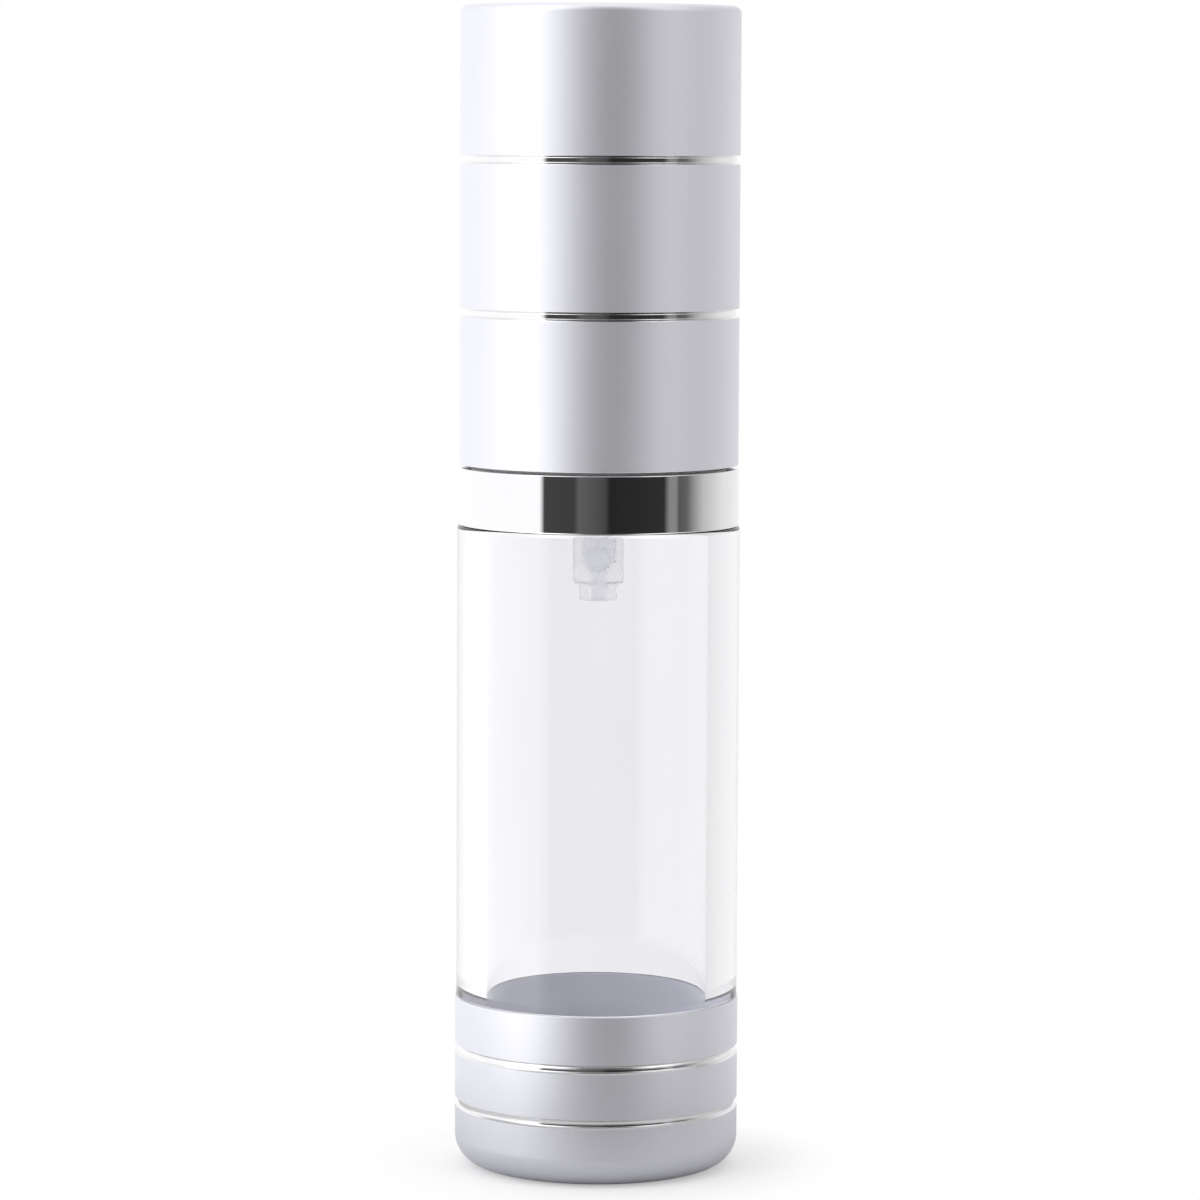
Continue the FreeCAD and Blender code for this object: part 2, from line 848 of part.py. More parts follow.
PIECES = (
    overcap_shell,
    overcap_liner,
    actuator_shell,
    actuator_insert,
    nozzle_insert,
    return_spring,
    pump_stem,
    pump_poppet,
    pump_piston,
    chaplet,
    pump_housing,
    ball_cage,
    inlet_ball,
    neck_gasket,
    collar_shell,
    collar_core,
    bottle_body,
    follower_piston,
    base_plug,
    base_shell,
)


def main():
    os.makedirs("parts", exist_ok=True)
    for make in PIECES:
        piece = make()
        piece.exportStep(f"parts/{make.__name__}.step")
        print(f"{make.__name__}: {len(piece.Solids)} solid of {piece.Volume:.1f} mm3")


main()
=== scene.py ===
# %% [markdown]
# # Dressing an airless pump bottle
# The construction model gives every piece its true size and place. This lesson gives the pieces that show a
# smoother skin and a finish: satin anodised aluminium, mirror-polished metal, clear plastic and milky plastic.
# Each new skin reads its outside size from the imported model. Only the grooves' floors and a few small roundings
# differ from it.

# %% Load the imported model
import math

import bmesh
import bpy
from mathutils import Matrix, Vector


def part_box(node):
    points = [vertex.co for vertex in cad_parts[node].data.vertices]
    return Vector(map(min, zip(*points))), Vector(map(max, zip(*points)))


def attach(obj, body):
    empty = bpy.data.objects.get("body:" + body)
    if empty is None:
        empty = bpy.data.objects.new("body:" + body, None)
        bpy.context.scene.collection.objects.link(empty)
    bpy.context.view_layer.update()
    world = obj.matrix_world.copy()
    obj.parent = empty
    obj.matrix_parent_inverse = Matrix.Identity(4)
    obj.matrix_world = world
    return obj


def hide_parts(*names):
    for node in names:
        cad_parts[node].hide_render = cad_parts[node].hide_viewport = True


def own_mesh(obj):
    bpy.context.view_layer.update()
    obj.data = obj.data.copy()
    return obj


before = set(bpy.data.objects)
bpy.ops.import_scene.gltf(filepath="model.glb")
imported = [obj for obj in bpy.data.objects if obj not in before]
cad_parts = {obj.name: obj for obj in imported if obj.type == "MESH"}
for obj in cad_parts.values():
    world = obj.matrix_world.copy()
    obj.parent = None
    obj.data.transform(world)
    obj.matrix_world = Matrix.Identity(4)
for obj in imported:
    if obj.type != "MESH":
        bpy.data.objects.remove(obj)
scene = bpy.context.scene
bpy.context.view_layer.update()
mm = 0.001

# %% [markdown]
# ## The camera
# A long lens stands about half a metre in front of the bottle, near the height of its top, and looks down by a
# few degrees. The curves of the rings give this away: the grooves near the top are almost straight lines, and
# the rings of the base are open curves. A roll of a quarter of a degree is copied too. Light may bounce more often
# than by default, because it crosses many clear walls on its way through the tube and the pump.

# %% Place the camera
sensor_width = 36.0
lens_length = 150.4
camera_distance = 495.0 * mm
camera_height = 104.1 * mm
camera_pitch = math.radians(5.5)
camera_roll = math.radians(-0.28)
camera_yaw = math.radians(0.006)
nearest_view = 10 * mm
light_bounces = 32

camera_data = bpy.data.cameras.new("photo_camera")
camera_data.sensor_width = sensor_width
camera_data.lens = lens_length
camera_data.clip_start = nearest_view
camera = bpy.data.objects.new("photo_camera", camera_data)
camera.location = (0, -camera_distance, camera_height)
camera.rotation_euler = (math.pi / 2 - camera_pitch, camera_roll, camera_yaw)
scene.collection.objects.link(camera)
scene.camera = camera
scene.view_settings.view_transform = "Standard"
scene.cycles.max_bounces = light_bounces
scene.cycles.transmission_bounces = light_bounces
print("camera pitch in degrees:", round(math.degrees(camera_pitch), 2))

# %% [markdown]
# ## The studio
# Metal shows the room more than itself, so the room matters most here. The polished collar is a map of it at the
# height of a table: a wide white panel on the left, the dark room behind the camera, a weaker panel on the right and
# white paper behind. The satin overcap adds what is above and below: panels on both sides, and a dark gap in front.
# A white ceiling closes the room. Lamps would each leave a spot on the metal, so the world holds all of this as
# brightness by direction. The background itself is plain white wherever the camera looks, and clear plastic shows
# the same white.

# %% Brightness of the studio by direction
# Degrees round the bottle, where 0 is the camera's side, -90 the left and 90 the right.
table_height_walls = [
    (-180, 1.0),
    (-150, 1.1),
    (-49, 1.1),
    (-45, 0.06),
    (-20, 0.05),
    (-16, 0.12),
    (5, 0.07),
    (9, 0.02),
    (55, 0.03),
    (60, 0.26),
    (66, 0.26),
    (69, 0.1),
    (77, 0.13),
    (84, 0.3),
    (95, 0.55),
    (122, 0.83),
    (180, 1.0),
]
upper_and_lower_walls = [
    (-180, 1.0),
    (-120, 1.05),
    (-86, 1.1),
    (-70, 1.9),
    (-47, 2.1),
    (-30, 1.35),
    (-12, 0.22),
    (12, 0.12),
    (28, 0.25),
    (47, 1.4),
    (62, 1.3),
    (80, 0.8),
    (100, 0.5),
    (140, 0.8),
    (180, 1.0),
]
band_middle = math.sin(math.radians(-3))
band_solid = math.sin(math.radians(6))
band_fade = math.sin(math.radians(11))
ceiling_brightness = 1.1
ceiling_starts = math.sin(math.radians(48))
ceiling_full = math.sin(math.radians(62))
half_bounce = 0.5
print("studio directions:", len(table_height_walls) + len(upper_and_lower_walls))


# %% Helpers for shader nodes
def add_node(tree, kind, **settings):
    """A shader node with its properties and plain input values set by name."""
    node = tree.nodes.new(kind)
    for name, value in settings.items():
        if name in node.inputs:
            node.inputs[name].default_value = value
        else:
            setattr(node, name, value)
    return node


def wall_ramp(tree, plan):
    """A ramp from the left of the back wall round the front to its right."""
    walls = add_node(tree, "ShaderNodeValToRGB")
    stops = walls.color_ramp.elements
    while len(stops) > 1:
        stops.remove(stops[-1])
    for index, (degrees, brightness) in enumerate(plan):
        place = (degrees + 180) / 360
        stop = stops[0] if index == 0 else stops.new(place)
        stop.position = place
        stop.color = (brightness, brightness, brightness, 1)
    return walls


# %% Build the studio
def studio_world():
    """A world that lights by direction, and is white to the camera and through clear plastic."""
    world = bpy.data.worlds.new("studio")
    world.use_nodes = True
    tree = world.node_tree
    tree.nodes.clear()
    link = tree.links.new
    direction = add_node(tree, "ShaderNodeTexCoord")
    parts = add_node(tree, "ShaderNodeSeparateXYZ")
    front = add_node(tree, "ShaderNodeMath", operation="MULTIPLY")
    front.inputs[1].default_value = -1
    angle = add_node(tree, "ShaderNodeMath", operation="ARCTAN2")
    along = add_node(tree, "ShaderNodeMapRange")
    along.inputs["From Min"].default_value = -math.pi
    along.inputs["From Max"].default_value = math.pi
    table_height = wall_ramp(tree, table_height_walls)
    elsewhere = wall_ramp(tree, upper_and_lower_walls)
    from_band = add_node(tree, "ShaderNodeMath", operation="SUBTRACT")
    from_band.inputs[1].default_value = band_middle
    either_way = add_node(tree, "ShaderNodeMath", operation="ABSOLUTE")
    outside = add_node(tree, "ShaderNodeMapRange", interpolation_type="SMOOTHSTEP")
    outside.inputs["From Min"].default_value = band_solid
    outside.inputs["From Max"].default_value = band_fade
    room = add_node(tree, "ShaderNodeMix", data_type="RGBA")
    overhead = add_node(tree, "ShaderNodeMapRange", interpolation_type="SMOOTHSTEP")
    overhead.inputs["From Min"].default_value = ceiling_starts
    overhead.inputs["From Max"].default_value = ceiling_full
    covered = add_node(tree, "ShaderNodeMix", data_type="RGBA")
    covered.inputs["B"].default_value = (ceiling_brightness, ceiling_brightness, ceiling_brightness, 1)
    rays = add_node(tree, "ShaderNodeLightPath")
    unreflected = add_node(tree, "ShaderNodeMath", operation="LESS_THAN")
    unreflected.inputs[1].default_value = half_bounce
    through = add_node(tree, "ShaderNodeMath", operation="MULTIPLY")
    plain = add_node(tree, "ShaderNodeMath", operation="MAXIMUM")
    seen = add_node(tree, "ShaderNodeMix", data_type="RGBA")
    seen.inputs["B"].default_value = (1, 1, 1, 1)
    light = add_node(tree, "ShaderNodeBackground")
    output = add_node(tree, "ShaderNodeOutputWorld")
    link(direction.outputs["Generated"], parts.inputs[0])
    link(parts.outputs["Y"], front.inputs[0])
    link(parts.outputs["X"], angle.inputs[0])
    link(front.outputs[0], angle.inputs[1])
    link(angle.outputs[0], along.inputs["Value"])
    link(along.outputs["Result"], table_height.inputs["Fac"])
    link(along.outputs["Result"], elsewhere.inputs["Fac"])
    link(parts.outputs["Z"], from_band.inputs[0])
    link(from_band.outputs[0], either_way.inputs[0])
    link(either_way.outputs[0], outside.inputs["Value"])
    link(outside.outputs["Result"], room.inputs["Factor"])
    link(table_height.outputs["Color"], room.inputs["A"])
    link(elsewhere.outputs["Color"], room.inputs["B"])
    link(rays.outputs["Is Camera Ray"], plain.inputs[0])
    link(rays.outputs["Glossy Depth"], unreflected.inputs[0])
    link(rays.outputs["Is Transmission Ray"], through.inputs[0])
    link(unreflected.outputs[0], through.inputs[1])
    link(through.outputs[0], plain.inputs[1])
    link(plain.outputs[0], seen.inputs["Factor"])
    link(parts.outputs["Z"], overhead.inputs["Value"])
    link(overhead.outputs["Result"], covered.inputs["Factor"])
    link(room.outputs["Result"], covered.inputs["A"])
    link(covered.outputs["Result"], seen.inputs["A"])
    link(seen.outputs["Result"], light.inputs["Color"])
    link(light.outputs["Background"], output.inputs["Surface"])
    return world


scene.world = studio_world()
print("world:", scene.world.name)

# %% [markdown]
# ## The floor
# The bottle stands on a small round of white paper. Light falls on it as on any paper, so it keeps the bottle's
# shadow, and a little glow for the rays that show it brings the open paper up to white. A short way from the foot
# it turns into plain white, so the edge of the round never shows. A wide sheet would be simpler, but the overcap
# and the collar would then mirror paper where they look past the edge of a table into the room.

# %% Paper for the floor
floor_fade_start = 15 * mm
floor_fade_end = 26 * mm
paper_colour = (0.63, 0.63, 0.63, 1)
paper_glow = 0.37


def paper_finish():
    """White paper that is lit by the room and lifted to white where it is seen."""
    paper = bpy.data.materials.new("white_paper")
    paper.use_nodes = True
    tree = paper.node_tree
    tree.nodes.clear()
    lit = add_node(tree, "ShaderNodeBsdfDiffuse", Color=paper_colour)
    glow = add_node(tree, "ShaderNodeEmission")
    rays = add_node(tree, "ShaderNodeLightPath")
    seen = add_node(tree, "ShaderNodeMath", operation="MAXIMUM")
    strength = add_node(tree, "ShaderNodeMath", operation="MULTIPLY")
    strength.inputs[1].default_value = paper_glow
    both = add_node(tree, "ShaderNodeAddShader")
    place = add_node(tree, "ShaderNodeTexCoord")
    away = add_node(tree, "ShaderNodeVectorMath", operation="LENGTH")
    fade = add_node(tree, "ShaderNodeMapRange", interpolation_type="SMOOTHSTEP")
    fade.inputs["From Min"].default_value = floor_fade_start
    fade.inputs["From Max"].default_value = floor_fade_end
    edge = add_node(tree, "ShaderNodeMath", operation="MULTIPLY")
    white = add_node(tree, "ShaderNodeEmission")
    sheet = add_node(tree, "ShaderNodeMixShader")
    output = add_node(tree, "ShaderNodeOutputMaterial")
    link = tree.links.new
    link(rays.outputs["Is Camera Ray"], seen.inputs[0])
    link(rays.outputs["Is Transmission Ray"], seen.inputs[1])
    link(seen.outputs[0], strength.inputs[0])
    link(strength.outputs[0], glow.inputs["Strength"])
    link(lit.outputs[0], both.inputs[0])
    link(glow.outputs[0], both.inputs[1])
    link(place.outputs["Object"], away.inputs[0])
    link(away.outputs["Value"], fade.inputs["Value"])
    link(fade.outputs["Result"], edge.inputs[0])
    link(seen.outputs[0], edge.inputs[1])
    link(edge.outputs[0], sheet.inputs["Fac"])
    link(both.outputs[0], sheet.inputs[1])
    link(white.outputs[0], sheet.inputs[2])
    link(sheet.outputs[0], output.inputs["Surface"])
    return paper


# %% Lay the floor
floor_radius = 44 * mm
floor_drop = 0.02 * mm
floor_segments = 128
sheet = bmesh.new()
bmesh.ops.create_circle(sheet, cap_ends=True, segments=floor_segments, radius=floor_radius)
bmesh.ops.translate(sheet, verts=sheet.verts[:], vec=(0, 0, -floor_drop))
floor_mesh = bpy.data.meshes.new("floor")
sheet.to_mesh(floor_mesh)
sheet.free()
floor_mesh.materials.append(paper_finish())
floor = bpy.data.objects.new("floor", floor_mesh)
scene.collection.objects.link(floor)
print("floor radius in mm:", round(floor_radius / mm))

# %% [markdown]
# ## Patterns that the finishes share
# No real surface is one even colour. Three patterns are used again and again, so each is a node group: a fine
# grain, as blasting leaves on metal and a mould leaves on plastic; rings, as a lathe or a polishing wheel leaves;
# and soft clouds, as handling leaves. They only put out values. Each finish decides what a value does.

# %% A helper for patterns
def pattern_group(name, inputs, outputs):
    """An empty shader node group with number sockets, and its two end nodes."""
    group = bpy.data.node_groups.new(name, "ShaderNodeTree")
    for label, value in inputs.items():
        socket = group.interface.new_socket(label, in_out="INPUT", socket_type="NodeSocketFloat")
        socket.default_value = value
    for label in outputs:
        group.interface.new_socket(label, in_out="OUTPUT", socket_type="NodeSocketFloat")
    return group, group.nodes.new("NodeGroupInput"), group.nodes.new("NodeGroupOutput")


# %% Fine grain
def grain_pattern():
    """Fine grain of a size in millimetres."""
    group, given, result = pattern_group("fine_grain", {"Grain": 0.1}, ["Height"])
    place = add_node(group, "ShaderNodeTexCoord")
    scale = add_node(group, "ShaderNodeMath", operation="DIVIDE")
    scale.inputs[0].default_value = 1 / mm
    noise = add_node(group, "ShaderNodeTexNoise", Detail=2.0)
    group.links.new(given.outputs["Grain"], scale.inputs[1])
    group.links.new(place.outputs["Object"], noise.inputs["Vector"])
    group.links.new(scale.outputs[0], noise.inputs["Scale"])
    group.links.new(noise.outputs["Fac"], result.inputs["Height"])
    return group


fine_grain = grain_pattern()
print("pattern:", fine_grain.name)


# %% Lathe rings
def ring_pattern():
    """Fine rings about the bottle's axis, as a lathe leaves them, of a spacing in millimetres."""
    group, given, result = pattern_group("lathe_rings", {"Spacing": 0.1}, ["Height"])
    place = add_node(group, "ShaderNodeTexCoord")
    parts = add_node(group, "ShaderNodeSeparateXYZ")
    flat = add_node(group, "ShaderNodeCombineXYZ")
    radius = add_node(group, "ShaderNodeVectorMath", operation="LENGTH")
    line = add_node(group, "ShaderNodeCombineXYZ")
    scale = add_node(group, "ShaderNodeMath", operation="DIVIDE")
    scale.inputs[0].default_value = 1 / mm
    noise = add_node(group, "ShaderNodeTexNoise", noise_dimensions="2D", Detail=3.0)
    link = group.links.new
    link(place.outputs["Object"], parts.inputs[0])
    link(parts.outputs["X"], flat.inputs["X"])
    link(parts.outputs["Y"], flat.inputs["Y"])
    link(flat.outputs[0], radius.inputs[0])
    link(radius.outputs["Value"], line.inputs["X"])
    link(parts.outputs["Z"], line.inputs["Y"])
    link(given.outputs["Spacing"], scale.inputs[1])
    link(line.outputs[0], noise.inputs["Vector"])
    link(scale.outputs[0], noise.inputs["Scale"])
    link(noise.outputs["Fac"], result.inputs["Height"])
    return group


lathe_rings = ring_pattern()
print("pattern:", lathe_rings.name)

# %% Soft clouds
cloud_low = 0.3
cloud_high = 0.7


def cloud_pattern():
    """Soft patches of a size in millimetres, from 0 to 1."""
    group, given, result = pattern_group("soft_clouds", {"Size": 10.0}, ["Amount"])
    place = add_node(group, "ShaderNodeTexCoord")
    scale = add_node(group, "ShaderNodeMath", operation="DIVIDE")
    scale.inputs[0].default_value = 1 / mm
    noise = add_node(group, "ShaderNodeTexNoise", Detail=4.0, Distortion=0.6)
    spread = add_node(group, "ShaderNodeMapRange", interpolation_type="SMOOTHSTEP")
    spread.inputs["From Min"].default_value = cloud_low
    spread.inputs["From Max"].default_value = cloud_high
    group.links.new(given.outputs["Size"], scale.inputs[1])
    group.links.new(place.outputs["Object"], noise.inputs["Vector"])
    group.links.new(scale.outputs[0], noise.inputs["Scale"])
    group.links.new(noise.outputs["Fac"], spread.inputs["Value"])
    group.links.new(spread.outputs["Result"], result.inputs["Amount"])
    return group


soft_clouds = cloud_pattern()
print("pattern:", soft_clouds.name)

# %% [markdown]
# ## Finishes
# All finishes start from the same shader, the Principled BSDF. Its plain values are set on its own sockets. Clouds
# move the colour and the roughness a little, and grain or rings move the surface itself through a Bump node, by a
# few thousandths of a millimetre.

# %% A helper for finishes
def new_finish(name, colours, roughness, cloud_size, relief, relief_size, relief_depth, **plain):
    """A material: clouds between two colours and two roughnesses, and a fine relief of some depth in mm."""
    finish = bpy.data.materials.new(name)
    finish.use_nodes = True
    tree = finish.node_tree
    surface = tree.nodes["Principled BSDF"]
    for socket, value in plain.items():
        surface.inputs[socket.replace("_", " ")].default_value = value
    clouds = add_node(tree, "ShaderNodeGroup", node_tree=soft_clouds)
    clouds.inputs["Size"].default_value = cloud_size
    tint = add_node(tree, "ShaderNodeMix", data_type="RGBA")
    tint.inputs["A"].default_value = colours[0] + (1,)
    tint.inputs["B"].default_value = colours[1] + (1,)
    polish = add_node(tree, "ShaderNodeMapRange")
    polish.inputs["To Min"].default_value = roughness[0]
    polish.inputs["To Max"].default_value = roughness[1]
    marks = add_node(tree, "ShaderNodeGroup", node_tree=relief)
    marks.inputs[0].default_value = relief_size
    bump = add_node(tree, "ShaderNodeBump", Strength=1.0, Distance=relief_depth * mm)
    link = tree.links.new
    link(clouds.outputs["Amount"], tint.inputs["Factor"])
    link(tint.outputs["Result"], surface.inputs["Base Color"])
    link(clouds.outputs["Amount"], polish.inputs["Value"])
    link(polish.outputs["Result"], surface.inputs["Roughness"])
    link(marks.outputs["Height"], bump.inputs["Height"])
    link(bump.outputs["Normal"], surface.inputs["Normal"])
    return finish


# %% [markdown]
# ### Metals
# The overcap, the base and the actuator are drawn from aluminium sheet, blasted and anodised, so they are satin:
# a metal with a broad, even sheen and a grain too fine to see from a step away. The grooves are cut last, with a
# polished tool, and stay bright. The collar is polished like a mirror, and the spring is drawn wire. The base has a
# pale coat inside. It hides the metal, so it is a plain colour with a slight gloss.

# %% Metal finishes
satin_aluminium = new_finish(
    "satin_aluminium", colours=((0.85, 0.853, 0.908), (0.836, 0.839, 0.895)), roughness=(0.48, 0.5),
    cloud_size=14, relief=fine_grain, relief_size=0.08, relief_depth=0.002, Metallic=1,
)
bright_cut = new_finish(
    "bright_cut_aluminium", colours=((0.9, 0.9, 0.91), (0.88, 0.88, 0.89)), roughness=(0.07, 0.11),
    cloud_size=6, relief=lathe_rings, relief_size=0.05, relief_depth=0.0006, Metallic=1,
)
inside_coat = new_finish(
    "pale_inside_coat", colours=((0.8, 0.8, 0.835), (0.76, 0.76, 0.8)), roughness=(0.4, 0.46),
    cloud_size=9, relief=lathe_rings, relief_size=0.3, relief_depth=0.003, IOR=1.6,
)
mirror_metal = new_finish(
    "mirror_polished_metal", colours=((0.9, 0.9, 0.91), (0.88, 0.88, 0.9)), roughness=(0.03, 0.05),
    cloud_size=8, relief=lathe_rings, relief_size=0.4, relief_depth=0.0002, Metallic=1,
)
spring_steel = new_finish(
    "drawn_spring_steel", colours=((0.62, 0.62, 0.63), (0.56, 0.56, 0.58)), roughness=(0.22, 0.32),
    cloud_size=1.5, relief=fine_grain, relief_size=0.06, relief_depth=0.002, Metallic=1,
)
metals = (satin_aluminium, bright_cut, inside_coat, mirror_metal, spring_steel)
print("metals and coat:", [finish.name for finish in metals])

# %% [markdown]
# ### Light through plastic
# Behind a clear wall, a renderer finds little light for what is inside, because it looks for light along straight
# lines and the wall bends them. So a clear finish lets that light pass straight through, while the camera still
# sees it bend. Milky plastic also scatters a share of the light on its way.

# %% Helpers for clear and milky plastic
def let_light_in(finish, tint):
    """Lets the light that falls on what is inside pass straight through the clear plastic."""
    tree = finish.node_tree
    output = next(node for node in tree.nodes if node.type == "OUTPUT_MATERIAL")
    glossy = output.inputs["Surface"].links[0].from_socket
    rays = add_node(tree, "ShaderNodeLightPath")
    inward = add_node(tree, "ShaderNodeMath", operation="MAXIMUM")
    straight = add_node(tree, "ShaderNodeBsdfTransparent", Color=tint)
    either = add_node(tree, "ShaderNodeMixShader")
    link = tree.links.new
    link(rays.outputs["Is Shadow Ray"], inward.inputs[0])
    link(rays.outputs["Is Diffuse Ray"], inward.inputs[1])
    link(inward.outputs[0], either.inputs["Fac"])
    link(glossy, either.inputs[1])
    link(straight.outputs[0], either.inputs[2])
    link(either.outputs[0], output.inputs["Surface"])


def make_milky(finish, share, tint):
    """Scatters a share of the light inside the plastic, so that what is behind it blurs away."""
    tree = finish.node_tree
    output = next(node for node in tree.nodes if node.type == "OUTPUT_MATERIAL")
    clear = output.inputs["Surface"].links[0].from_socket
    scatter = add_node(tree, "ShaderNodeBsdfTranslucent", Color=tint)
    both = add_node(tree, "ShaderNodeMixShader", Fac=share)
    link = tree.links.new
    link(clear, both.inputs[1])
    link(scatter.outputs[0], both.inputs[2])
    link(both.outputs[0], output.inputs["Surface"])


# %% [markdown]
# ### Plastics
# The tube is clear plastic, glossy inside and out. The pump is moulded from unpigmented polypropylene, which is
# milky and lets light through. It and the glass ball are given a low index of refraction and bend light only a
# little, as they would in a full bottle, with clear product against them. The closure, the liner and the plug are
# pigmented white, and the follower is softer and waxy.

# %% Plastic finishes
clear_plastic = new_finish(
    "clear_plastic", colours=((0.975, 0.975, 0.99), (0.965, 0.965, 0.985)), roughness=(0.0, 0.02),
    cloud_size=20, relief=lathe_rings, relief_size=6.0, relief_depth=0.001, Transmission_Weight=1, IOR=1.49,
)
let_light_in(clear_plastic, tint=(0.95, 0.95, 0.97, 1))
milky_plastic = new_finish(
    "natural_polypropylene", colours=((0.97, 0.972, 0.98), (0.95, 0.955, 0.965)), roughness=(0.24, 0.3),
    cloud_size=3, relief=fine_grain, relief_size=0.15, relief_depth=0.001, Transmission_Weight=1, IOR=1.12,
)
make_milky(milky_plastic, share=0.13, tint=(0.97, 0.97, 0.975, 1))
let_light_in(milky_plastic, tint=(0.96, 0.96, 0.965, 1))
white_plastic = new_finish(
    "white_polypropylene", colours=((0.86, 0.86, 0.85), (0.83, 0.83, 0.825)), roughness=(0.38, 0.48),
    cloud_size=6, relief=fine_grain, relief_size=0.15, relief_depth=0.004, IOR=1.49,
)
waxy_plastic = new_finish(
    "soft_polyethylene", colours=((0.88, 0.88, 0.87), (0.84, 0.845, 0.84)), roughness=(0.42, 0.55),
    cloud_size=4, relief=fine_grain, relief_size=0.25, relief_depth=0.006, IOR=1.51,
    Subsurface_Weight=0.3, Subsurface_Radius=(1, 1, 1), Subsurface_Scale=0.6 * mm,
)
valve_glass = new_finish(
    "valve_glass", colours=((0.985, 0.99, 0.99), (0.975, 0.985, 0.985)), roughness=(0.1, 0.16),
    cloud_size=1, relief=fine_grain, relief_size=0.2, relief_depth=0.0005, Transmission_Weight=1, IOR=1.15,
)
gasket_rubber = new_finish(
    "gasket_rubber", colours=((0.7, 0.7, 0.68), (0.64, 0.64, 0.625)), roughness=(0.55, 0.7),
    cloud_size=2, relief=fine_grain, relief_size=0.1, relief_depth=0.006,
)
plastics = (clear_plastic, milky_plastic, white_plastic, waxy_plastic)
print("plastics:", [finish.name for finish in plastics], "and", valve_glass.name, gasket_rubber.name)

# %% [markdown]
# ## Turned pieces
# Nearly every piece of this bottle is round about one axis, so half of its section tells its whole shape. The
# section could be drawn as a curve and given a Screw modifier. Here it is a few corners joined by edges: each
# corner that is round on the real piece is bevelled, and the outline is spun once about the axis. The corners are
# read like a drawing, as a radius, a height and a rounding in millimetres.

# %% Helpers for turned pieces
spin_steps = 256
round_steps = 8
merge_gap = 0.0005 * mm
smooth_angle = math.radians(32)


def round_corner(outline, point, rounding):
    """Rounds one corner of a wire outline."""
    ways = [(edge.other_vert(point).co - point.co) for edge in point.link_edges]
    setback = rounding * mm / math.tan(ways[0].angle(ways[1]) / 2)
    bmesh.ops.bevel(
        outline, geom=[point], offset=setback, offset_type="OFFSET", segments=round_steps, profile=0.5,
        affect="VERTICES", material=-1, clamp_overlap=False,
    )


def finished_object(name, shape, finishes):
    """Turns a bmesh into an object at the origin, smooth but for its sharp edges."""
    bmesh.ops.remove_doubles(shape, verts=shape.verts[:], dist=merge_gap)
    bmesh.ops.recalc_face_normals(shape, faces=shape.faces[:])
    mesh = bpy.data.meshes.new(name)
    shape.to_mesh(mesh)
    shape.free()
    mesh.shade_smooth()
    mesh.set_sharp_from_angle(angle=smooth_angle)
    for finish in finishes:
        mesh.materials.append(finish)
    piece = bpy.data.objects.new(name, mesh)
    scene.collection.objects.link(piece)
    even = piece.modifiers.new("even_normals", "WEIGHTED_NORMAL")
    even.keep_sharp = True
    return piece


def turned_shape(corners):
    """Spins an outline about the axis. An outline that starts on the axis ends there, and any other is closed."""
    shape = bmesh.new()
    points = [shape.verts.new((corner[0] * mm, 0, corner[1] * mm)) for corner in corners]
    ends = list(zip(points, points[1:]))
    if corners[0][0] > 0:
        ends.append((points[-1], points[0]))
    for pair in ends:
        shape.edges.new(pair)
    for point, corner in zip(points, corners):
        if len(corner) > 2:
            round_corner(shape, point, corner[2])
    bmesh.ops.spin(
        shape, geom=shape.verts[:] + shape.edges[:], cent=(0, 0, 0), axis=(0, 0, 1), angle=math.tau,
        steps=spin_steps, use_merge=True,
    )
    return shape


# %% Helpers that put a piece in its place
def dress(piece, body, node):
    """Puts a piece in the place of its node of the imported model."""
    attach(piece, body)
    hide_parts(node)
    print(piece.name, "has", len(piece.data.polygons), "faces")


def turned_size(node):
    """Outside radius, lowest and highest point of a turned node, in millimetres."""
    low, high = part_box(node)
    return high.x / mm, low.z / mm, high.z / mm


# %% [markdown]
# ## The overcap
# A long cup of satin aluminium with a rounded top edge and two bright grooves. The grooves could be painted on as
# bright rings, but as part of the outline they catch light as real grooves do: the outline slopes in to a narrow
# floor and back out, with a small rounding at each corner of the floor. Their faces then get the bright finish.

# %% Helpers for grooves
groove_width = 0.9
groove_depth = 0.3
groove_flat = 0.5
groove_reach = 1.2 * groove_depth
skin_margin = 0.002
bright_slot = 1
edge_break = 0.08


def groove_corners(radius, height):
    """The corners of a flat-bottomed groove, from its upper edge to its lower one."""
    half = groove_width / 2
    flat = groove_flat / 2
    groove_floor = radius - groove_depth
    return [
        (radius, height + half),
        (groove_floor, height + flat, edge_break),
        (groove_floor, height - flat, edge_break),
        (radius, height - half),
    ]


def brighten_grooves(piece, radius, heights):
    """Gives the faces in each groove the second finish."""
    count = 0
    for face in piece.data.polygons:
        in_groove = any(abs(face.center.z / mm - height) < groove_width / 2 for height in heights)
        away = math.hypot(face.center.x, face.center.y) / mm
        if in_groove and radius - groove_reach < away < radius - skin_margin:
            face.material_index = bright_slot
            count += 1
    print("bright faces:", count)


# %% Spin the overcap's shell
cap_wall = 0.7
cap_edge_radius = 0.75
cap_radius, cap_bottom, cap_top = turned_size("overcap_shell")
cap_grooves = [cap_bottom + (cap_top - cap_bottom) * share / 3 for share in (2, 1)]
overcap = finished_object(
    "overcap_skin",
    turned_shape(
        [
            (0, cap_top),
            (cap_radius, cap_top, cap_edge_radius),
            *groove_corners(cap_radius, cap_grooves[0]),
            *groove_corners(cap_radius, cap_grooves[1]),
            (cap_radius, cap_bottom, edge_break),
            (cap_radius - cap_wall, cap_bottom, edge_break),
            (cap_radius - cap_wall, cap_top - cap_wall, cap_edge_radius - cap_wall),
            (0, cap_top - cap_wall),
        ]
    ),
    [satin_aluminium, bright_cut],
)
brighten_grooves(overcap, cap_radius, cap_grooves)
dress(overcap, "overcap", "overcap_shell")

